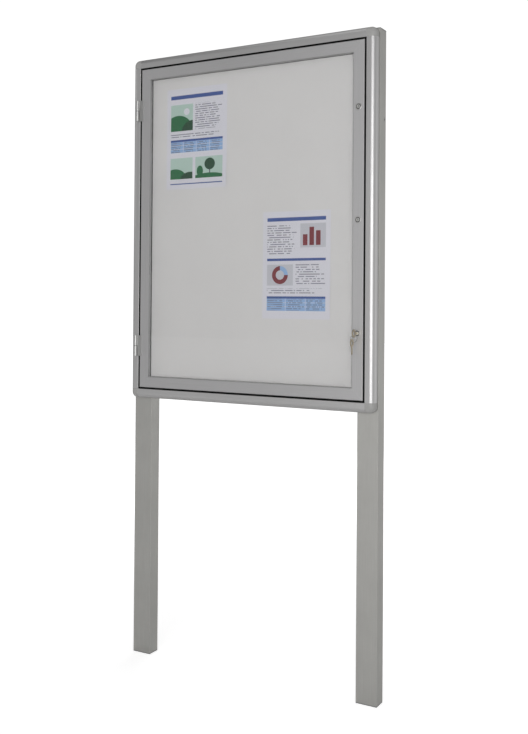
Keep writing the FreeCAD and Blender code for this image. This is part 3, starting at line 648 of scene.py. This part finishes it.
def corner_cap(end, up, side, right):
    """A moulded corner: a block whose outer edge and front rim are rolled over."""
    node = end + "_" + side + "_case_corner"
    low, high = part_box(node)
    inner = Vector((low.x if right > 0 else high.x, low.y, low.z if up > 0 else high.z))
    bm = bmesh.new()
    bmesh.ops.create_cube(bm, size=1)
    bmesh.ops.scale(bm, vec=high - low, verts=bm.verts)
    bmesh.ops.translate(bm, vec=(low + high) / 2, verts=bm.verts)

    def off_joint(point):
        return abs(point.x - inner.x) > NEAR and abs(point.z - inner.z) > NEAR

    outer = [e for e in bm.edges if all(off_joint(v.co) for v in e.verts)]
    soften(bm, outer, CORNER_RADIUS, 12)
    for depth, offset, segments in ((low.y, FRONT_ROLL, 9), (high.y, REAR_ROLL, 2)):
        rim = [e for e in bm.edges
               if all(abs(v.co.y - depth) < NEAR for v in e.verts)
               and off_joint((e.verts[0].co + e.verts[1].co) / 2)]
        soften(bm, rim, offset, segments)
    seams = [e for e in bm.edges
             if all(abs(v.co.x - inner.x) < 0.01 * MM for v in e.verts)
             or all(abs(v.co.z - inner.z) < 0.01 * MM for v in e.verts)]
    soften(bm, seams, 0.3 * MM, 1)
    finish_piece(end + "_" + side + "_corner_cap", bm, corner_skin, "stand",
                 [node])


for end, up in ENDS:
    for side, right in SIDES:
        corner_cap(end, up, side, right)


def framed_piece(name, low, high, front, section, look, body, slot, replaced=()):
    """A mitred ring inside the rectangle between two corners; the section is given as how
    far each point stands in from the rectangle's edge and back from the front, in
    millimetres."""
    bm = bmesh.new()
    loops = []
    for inset, depth in section:
        inset, y = inset * MM, front + depth * MM
        corners = [(low.x + inset, low.z + inset), (high.x - inset, low.z + inset),
                   (high.x - inset, high.z - inset), (low.x + inset, high.z - inset)]
        verts = [bm.verts.new((x, y, z)) for x, z in corners]
        loops.append([bm.edges.new((verts[i - 1], verts[i])) for i in range(4)])
    for number, loop in enumerate(loops):
        bmesh.ops.bridge_loops(bm, edges=loops[number - 1] + loop)
    finish_piece(name, bm, look, body, replaced)


GASKET_SECTION = ((0.4, 1.75), (0.4, 0.2), (0.6, 0.02), (1.1, 0.05), (1.35, 0.3), (1.48, 0.7),
                  (1.48, 1.75))
SEAL_SECTION = ((0, 0.8), (0.5, 0.4), (3.6, 0.6), (4.3, 1.0), (4.4, 1.5), (3.2, 2.3), (2.8, 4.0),
                (2.8, 9.0), (0, 9.0))
STRIP_WIDTH = 3.4
STRIP_SECTION = ((0, 0.4), (1.0, 0.15), (3.0, 0.2), (STRIP_WIDTH, 0.8), (STRIP_WIDTH, 4.9),
                 (0, 4.9))

case_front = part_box("left_case_profile")[0].y
door_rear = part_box("hinge_stile")[1].y
sight_low = Vector((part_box("hinge_stile")[1].x, door_rear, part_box("bottom_rail")[1].z))
sight_high = Vector((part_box("lock_stile")[0].x, door_rear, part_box("top_rail")[0].z))
strip_cover = Vector((STRIP_WIDTH * MM, 0, STRIP_WIDTH * MM))

framed_piece("gasket_bead", *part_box("pane_gasket"), case_front, GASKET_SECTION, gasket_rubber,
             "door", "gasket_rubber", ["pane_gasket"])
framed_piece("lipped_door_seal", *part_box("door_seal"), case_front, SEAL_SECTION, rubber,
             "stand", "seal_rubber", ["door_seal"])
# A foam strip behind the door's rear; its near-black colour also paints the shade in the gap
# between door and panel.
framed_piece("inner_seal_and_gap_shade", sight_low - strip_cover, sight_high + strip_cover, door_rear,
             STRIP_SECTION, foam_seal_and_gap_shade, "stand", "gasket_rubber")

WASHER_SECTION = ((2.6, 0.05), (2.6, 0.95), (4.8, 0.95), (5.0, 0.8), (5.0, 0.2), (4.8, 0.05))
HOUSING_SECTION = ((5.15, 10.2), (5.15, -1.0), (5.4, -1.25), (6.6, -1.25), (7.0, -1.0),
                   (7.0, 10.2))
RIM_SECTION = ((7.02, 0.0), (7.02, -1.2), (7.4, -1.55), (8.0, -1.55), (8.6, -1.2), (9.0, -0.6),
               (9.0, 0.0))


def hinge_washer(level):
    """The black washer between a hinge's two knuckles."""
    middle = sum(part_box(level + "_hinge_pin"), Vector()) / 2
    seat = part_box(level + "_hinge_frame_leaf")[1].z
    turned_piece(level + "_hinge_washer", WASHER_SECTION, (middle.x, middle.y, seat), (0, 0, 1),
                 rubber, "stand")


def lock_face(level):
    """A lock's black turned housing and the nickel rim that covers its bore."""
    housing = level + "_lock_housing"
    middle = sum(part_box(housing), Vector()) / 2
    centre = (middle.x, case_front, middle.z)
    turned_piece(level + "_lock_barrel", HOUSING_SECTION, centre, (0, 1, 0), bezel_black,
                 "door", [housing])
    turned_piece(level + "_lock_rim", RIM_SECTION, centre, (0, 1, 0), rim_nickel,
                 "door")


for end, _ in ENDS:
    hinge_washer(end)
for level in LEVELS:
    lock_face(level)


CUT_PITCH = 3 * MM
BLADE_POINT = 1.5 * MM
POINT_CUT = 2.2 * MM
HALF_BLADE = 3.25 * MM
BOW_RADIUS = 11 * MM
BOW_HOLE = 5.2 * MM
ROOT_SHARE = 0.93


def blade_steps(length, depths):
    """How far each step goes along a blade, and what is cut from its lower and upper edge."""
    steps = [(length - len(depths) * CUT_PITCH - BLADE_POINT, 0, 0)]
    for depth in depths:
        quarter = CUT_PITCH / 4
        steps += [(quarter, depth, 0), (quarter, depth, 0), (quarter, 0, 0), (quarter, 0, 0)]
    return steps + [(BLADE_POINT, POINT_CUT, POINT_CUT)]


def cut_key(name, node, body, upright, depths):
    """A key with a round bow, made flat with its blade along X and then given its
    thickness; depths are how deep the cuts in its blade go, in millimetres."""
    low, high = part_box(node)
    thickness = high.x - low.x
    length = (high.z - low.z if upright else high.y - low.y) - 2 * BOW_RADIUS
    bm = bmesh.new()
    loops = []
    for radius in (BOW_RADIUS, BOW_HOLE):
        made = bmesh.ops.create_circle(bm, cap_ends=False, radius=radius, segments=40)["verts"]
        loops += list({e for v in made for e in v.link_edges})
    bmesh.ops.bridge_loops(bm, edges=loops)
    root = [e for e in bm.edges if len(e.link_faces) == 1
            and all(v.co.x > BOW_RADIUS * ROOT_SHARE for v in e.verts)]
    reach = BOW_RADIUS
    for step, below, above in blade_steps(length, [d * MM for d in depths]):
        made = bmesh.ops.extrude_edge_only(bm, edges=root)["geom"]
        root = [g for g in made if isinstance(g, bmesh.types.BMEdge)]
        verts = sorted((g for g in made if isinstance(g, bmesh.types.BMVert)),
                       key=lambda v: v.co.y)
        reach += step
        for number, vert in enumerate(verts):
            share = number / (len(verts) - 1)
            vert.co.x = reach
            vert.co.y = (below - HALF_BLADE) * (1 - share) + (HALF_BLADE - above) * share
    made = bmesh.ops.extrude_face_region(bm, geom=bm.faces[:])["geom"]
    bmesh.ops.translate(bm, vec=(0, 0, thickness),
                        verts=[g for g in made if isinstance(g, bmesh.types.BMVert)])
    bmesh.ops.translate(bm, vec=(0, 0, -thickness / 2), verts=bm.verts)
    bmesh.ops.recalc_face_normals(bm, faces=bm.faces[:])
    rims = [e for e in bm.edges if len(e.link_faces) == 2
            and e.calc_face_angle() > math.radians(60)
            and abs(e.verts[0].co.z - e.verts[1].co.z) < 1e-6]
    soften(bm, rims, 0.2 * MM, 2)
    middle = (low + high) / 2
    if upright:
        turn = Matrix(((0, 0, 1), (0, 1, 0), (-1, 0, 0)))
        centre = Vector((middle.x, middle.y, high.z - BOW_RADIUS))
    else:
        turn = Matrix(((0, 0, 1), (1, 0, 0), (0, 1, 0)))
        centre = Vector((middle.x, low.y + BOW_RADIUS, middle.z))
    bmesh.ops.transform(bm, matrix=Matrix.Translation(centre) @ turn.to_4x4(), verts=bm.verts)
    finish_piece(name, bm, key_metal, body, [node])


cut_key("door_key", "key", "lower_lock", False, [1.4, 0.9])
cut_key("spare_door_key", "spare_key", "spare_key_ring", True, [0.8, 1.4, 0.6, 1.4, 0.9])


WIRE_SECTION = ((-0.6, -0.2), (-0.4, -0.23), (0.4, -0.23), (0.6, -0.2), (0.6, 0.2),
                (0.4, 0.23), (-0.4, 0.23), (-0.6, 0.2))
WIRE_PITCH = 0.47 * MM
FIRST_WIRE = -0.45 * MM
WIRE_INSET = 0.7 * MM
RING_TURNS = 1.9
RING_STEPS = 90


def split_ring():
    """Nearly two turns of flat wire, wound side by side."""
    low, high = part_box("key_ring")
    centre = (low + high) / 2
    bm = bmesh.new()
    radius = (high.x - low.x) / 2 - WIRE_INSET
    verts = [bm.verts.new((centre.x + radius + x * MM, centre.y + FIRST_WIRE + y * MM, centre.z))
             for x, y in WIRE_SECTION]
    bmesh.ops.spin(bm, geom=[bm.faces.new(verts)], cent=centre, axis=(0, 1, 0),
                   dvec=(0, RING_TURNS * WIRE_PITCH / RING_STEPS, 0),
                   angle=RING_TURNS * 2 * math.pi, steps=RING_STEPS, use_merge=False,
                   use_duplicate=False)
    ends = [e for e in bm.edges if len(e.link_faces) == 1]
    bmesh.ops.holes_fill(bm, edges=ends, sides=len(WIRE_SECTION))
    finish_piece("split_ring", bm, ring_steel, "spare_key_ring", ["key_ring"])


split_ring()


SHEET_THICKNESS = 0.12 * MM


def notice(name, node, look, lift, seed):
    """A sheet of paper on the panel, flat along its top and a little loose below."""
    low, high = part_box(node)
    size = high - low
    bm = bmesh.new()
    bmesh.ops.create_grid(bm, x_segments=14, y_segments=20, size=0.5)
    bmesh.ops.scale(bm, vec=(size.x, size.z, 1), verts=bm.verts)
    bmesh.ops.rotate(bm, matrix=Matrix.Rotation(math.radians(90), 3, "X"), verts=bm.verts)
    middle = (low + high) / 2
    bmesh.ops.translate(bm, vec=(middle.x, high.y - SHEET_THICKNESS, middle.z), verts=bm.verts)
    for vert in bm.verts:
        across = (vert.co.x - low.x) / size.x - 0.5
        down = (high.z - vert.co.z) / size.z
        wave = noise.noise(Vector((across * 2.1, seed, down * 2.3)))
        corner = max(0.0, abs(across) * 2 - 0.55) * max(0.0, down - 0.6) * 9
        vert.co.y -= lift * MM * min(1.6, down * (0.35 + 0.5 * abs(wave)) + corner)
    bmesh.ops.solidify(bm, geom=bm.faces[:], thickness=SHEET_THICKNESS)
    finish_piece(name, bm, look, "stand", [node])


notice("upper_notice", "upper_notice_sheet", upper_print, 1.0, 1.7)
notice("lower_notice", "lower_notice_sheet", lower_print, 1.2, 5.2)


# Studio: a pale floor that fades into a white surround, and soft lamps

def studio_lamp(name, location, target, width, height, power):
    """A soft rectangular lamp that looks at its target."""
    light = bpy.data.lights.new(name, "AREA")
    light.shape = "RECTANGLE"
    light.size = width
    light.size_y = height
    light.energy = power
    lamp = bpy.data.objects.new(name, light)
    bpy.context.scene.collection.objects.link(lamp)
    lamp.location = location
    aim = Vector(target) - Vector(location)
    lamp.rotation_euler = aim.to_track_quat("-Z", "Y").to_euler()


studio_lamp("key_softbox", (1.6, -3.15, 1.25), (0.6, 0, 1.1), 2.6, 2.6, 45)
studio_lamp("left_softbox", (-3.6, -2.0, 2.6), (0.3, 0, 1.0), 2.2, 2.4, 9)
studio_lamp("top_softbox", (0.6, -1.2, 4.2), (0.4, 0, 0.6), 3.4, 3.4, 18)
studio_lamp("rear_softbox", (-0.9, 3.6, 1.9), (0.37, 0, 1.2), 3.0, 3.0, 45)
studio_lamp("side_softbox", (3.6, 1.6, 1.2), (0.76, 0, 1.0), 3.2, 3.0, 9)


def straight_view(tree):
    """1 for rays from the camera, also through glass, 0 for all others."""
    path = add(tree, "ShaderNodeLightPath")
    turned = maths(tree, "ADD", path.outputs["Diffuse Depth"], path.outputs["Glossy Depth"])
    unturned = maths(tree, "SUBTRACT", 1.0, maths(tree, "MINIMUM", turned, 1.0))
    through = maths(tree, "MULTIPLY", path.outputs["Is Transmission Ray"], unturned)
    return maths(tree, "MAXIMUM", path.outputs["Is Camera Ray"], through)


# A straight view sees the white backdrop. Light that a surface has turned comes from a grey
# room, darker overhead and on the left, which gives the metal its contrast.

BACKDROP_LIGHT = 1.05
HORIZON_LIGHT = 0.54
HIGH_LIGHT = 0.24
LEFT_SHARE = 0.4
FLOOR_REACH = 20
FLOOR_FADE = (0.6, 2.4)
FLOOR_AS_SEEN = (0.85, 0.85, 0.85, 1)
FLOOR_AS_FELT = (0.88, 0.88, 0.88, 1)
FLOOR_GLOW = (0.6, 1.0)

world = bpy.data.worlds.new("studio")
bpy.context.scene.world = world
world.use_nodes = True
surround = world.node_tree
towards = object_axes(surround, add(surround, "ShaderNodeTexCoord").outputs["Generated"])
room = maths(surround, "MULTIPLY", ramp(surround, towards["X"], -0.9, -0.1, LEFT_SHARE, 1.0),
             ramp(surround, towards["Z"], 0.0, 0.55, HORIZON_LIGHT, HIGH_LIGHT))
backdrop = maths(surround, "MULTIPLY", straight_view(surround), BACKDROP_LIGHT)
feed(surround, surround.nodes["Background"].inputs["Color"], (1, 1, 1, 1))
feed(surround, surround.nodes["Background"].inputs["Strength"],
     maths(surround, "MAXIMUM", room, backdrop))

floor_mesh = bpy.data.meshes.new("studio_floor")
floor_bm = bmesh.new()
bmesh.ops.create_grid(floor_bm, x_segments=1, y_segments=1, size=FLOOR_REACH)
floor_bm.to_mesh(floor_mesh)
floor_bm.free()
floor = bpy.data.objects.new("studio_floor", floor_mesh)
bpy.context.scene.collection.objects.link(floor)

pale, tree, shader, place = new_material("pale_floor", 0.0)
shader.inputs["Roughness"].default_value = 0.9
seen = straight_view(tree)
unseen = maths(tree, "SUBTRACT", 1.0, seen)
spread = add(tree, "ShaderNodeVectorMath", {"operation": "LENGTH"})
feed(tree, spread.inputs[0], place)
far = ramp(tree, spread.outputs["Value"], *FLOOR_FADE)
felt = blend_colour(tree, far, FLOOR_AS_FELT, (0, 0, 0, 1))
feed(tree, shader.inputs["Base Color"], blend_colour(tree, seen, felt, FLOOR_AS_SEEN))
feed(tree, shader.inputs["Specular IOR Level"], 0.0)
feed(tree, shader.inputs["Emission Color"], (1, 1, 1, 1))
glow_seen = maths(tree, "MULTIPLY", ramp(tree, far, 0, 1, *FLOOR_GLOW), seen)
glow_felt = maths(tree, "MULTIPLY", maths(tree, "MULTIPLY", far, HORIZON_LIGHT), unseen)
feed(tree, shader.inputs["Emission Strength"], maths(tree, "ADD", glow_seen, glow_felt))
floor_mesh.materials.append(pale)
